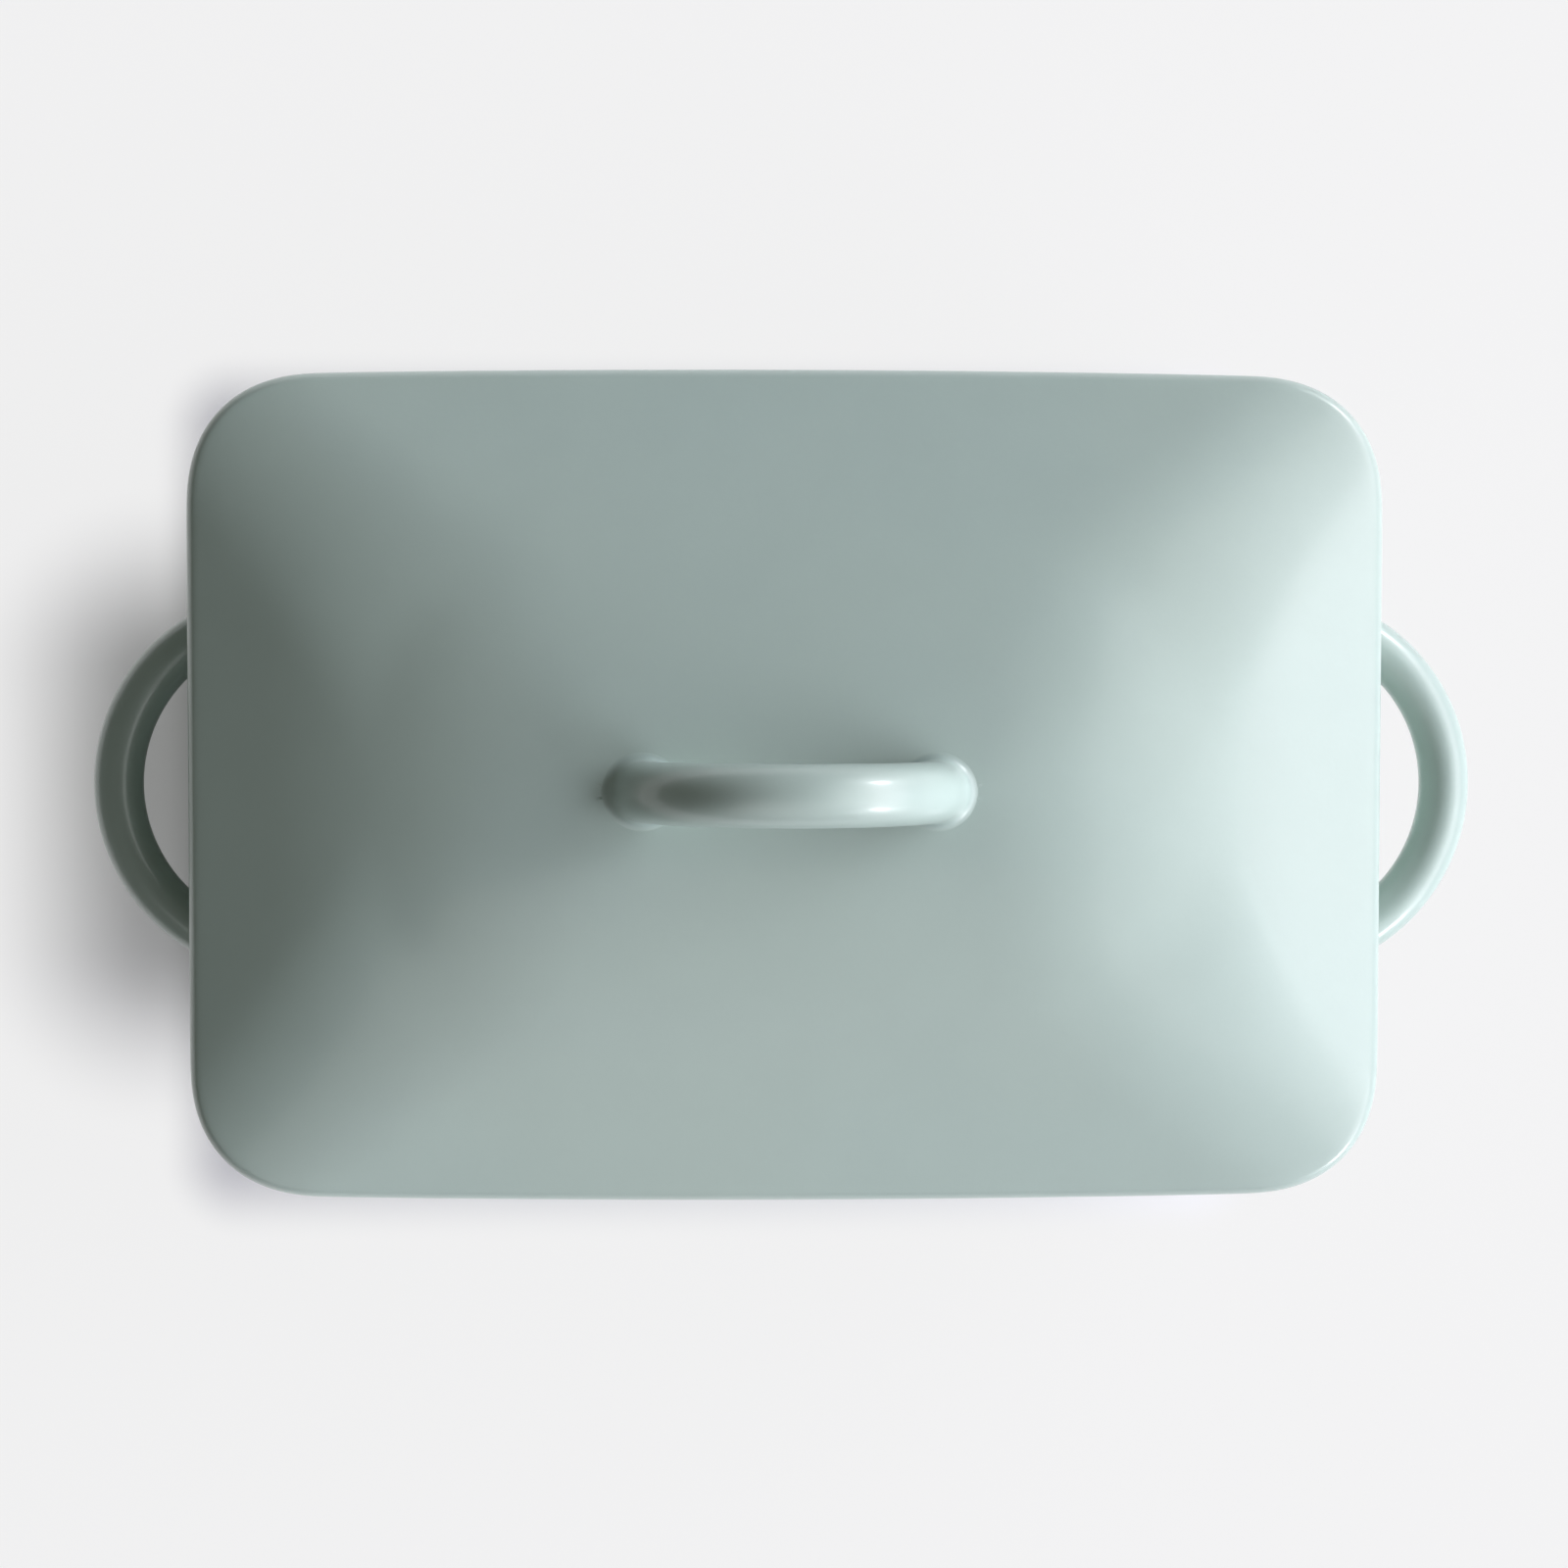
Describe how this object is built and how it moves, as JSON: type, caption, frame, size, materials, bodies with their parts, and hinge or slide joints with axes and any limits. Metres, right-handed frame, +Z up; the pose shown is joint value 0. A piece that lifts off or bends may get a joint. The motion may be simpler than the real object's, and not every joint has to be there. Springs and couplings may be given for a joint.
{
  "type": "baking dish",
  "caption": "Rectangular glazed stoneware baking dish with looped end handles and a lift-off hipped lid that carries an arched handle along its ridge.",
  "frame": {"origin": "on the table under the middle of the dish, centre of the bottom of the bounding box", "axes": "+X along the length of the dish from one end handle to the other, +Y across it, +Z up, the way the lid lifts"},
  "size_m": [0.3936, 0.23, 0.1482],
  "materials": {
    "sage_glaze": "satin sage-green glaze over stoneware"
  },
  "bodies": {
    "dish": {"dish_body": "sage_glaze", "left_handle": "sage_glaze", "right_handle": "sage_glaze"},
    "lid": {"lid_shell": "sage_glaze", "lid_handle": "sage_glaze"}
  },
  "joints": [
    {"name": "lid_lift", "type": "slide", "parent": "dish", "child": "lid", "axis": [0, 0, 1], "range_m": [0, 0.15]}
  ]
}
